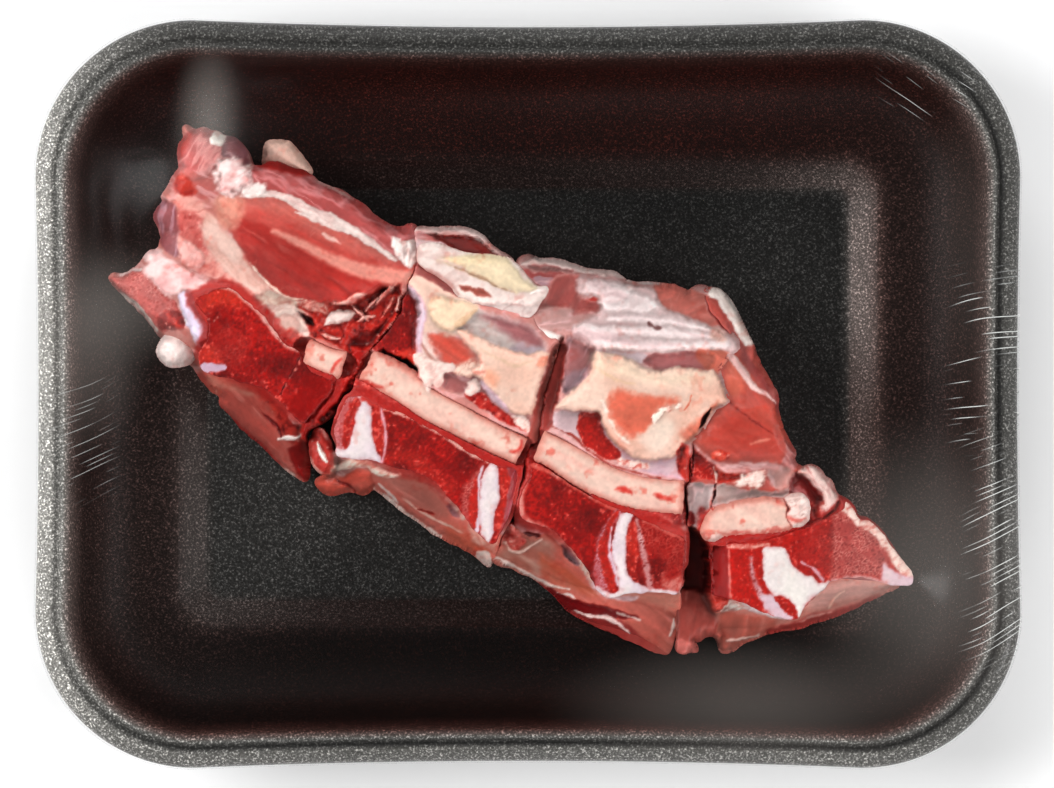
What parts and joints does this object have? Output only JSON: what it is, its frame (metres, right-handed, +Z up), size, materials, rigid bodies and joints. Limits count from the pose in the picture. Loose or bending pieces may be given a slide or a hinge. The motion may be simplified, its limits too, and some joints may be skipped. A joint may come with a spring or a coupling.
{
  "type": "meat tray pack",
  "caption": "Black foam meat tray wrapped in clear stretch film, with a lamb neck sawn lengthwise and chopped across.",
  "frame": {"origin": "middle of the pack's footprint, on the surface that it stands on", "axes": "+X along the tray's long side, +Y along its short side towards the thick back muscle, +Z up"},
  "size_m": [0.225, 0.171, 0.0396],
  "materials": {
    "black_foam": "satin black expanded polystyrene foam with a fine speckle",
    "clear_film": "clear glossy stretch film",
    "raw_meat": "moist raw lamb with fat and membrane",
    "sawn_bone": "sawn bone with red marrow",
    "spinal_cord": "moist, smooth, pale pink",
    "ligament": "moist pale yellow ligament in white fat",
    "cartilage": "moist, smooth, pinkish white"
  },
  "bodies": {
    "root": {"tray": "black_foam", "film": "clear_film", "meat_1": "raw_meat", "meat_2": "raw_meat", "meat_3": "raw_meat", "meat_4": "raw_meat", "vertebra_1": "sawn_bone", "vertebra_2": "sawn_bone", "vertebra_3": "sawn_bone", "vertebra_4": "sawn_bone", "spinal_cord_1": "spinal_cord", "spinal_cord_2": "spinal_cord", "spinal_cord_3": "spinal_cord", "spinal_cord_4": "spinal_cord", "ligament": "ligament", "cartilage_knob_left": "cartilage", "cartilage_knob_top": "cartilage"}
  },
  "joints": []
}
